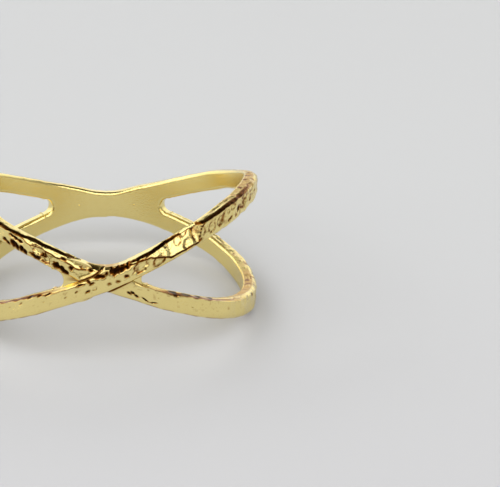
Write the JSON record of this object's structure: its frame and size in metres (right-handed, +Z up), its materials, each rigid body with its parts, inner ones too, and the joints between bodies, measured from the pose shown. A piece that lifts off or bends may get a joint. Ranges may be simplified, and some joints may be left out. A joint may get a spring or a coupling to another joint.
{
  "type": "crossover ring",
  "caption": "Gold coloured crossover ring cast in one piece: two hammered bands that cross at the front and back and bow apart at the sides.",
  "frame": {"origin": "centre of the finger hole, midway between the tops and bottoms of the bands", "axes": "+Z up with the ring lying on its side as it rests, -Y towards the front crossing, +X to the side where the over band is high"},
  "size_m": [0.019, 0.0192, 0.0087],
  "materials": {
    "gold_plate": "polished gold plating over cast brass, with hammered and pitted outer faces"
  },
  "bodies": {
    "root": {"crossover_band": "gold_plate"}
  },
  "joints": []
}
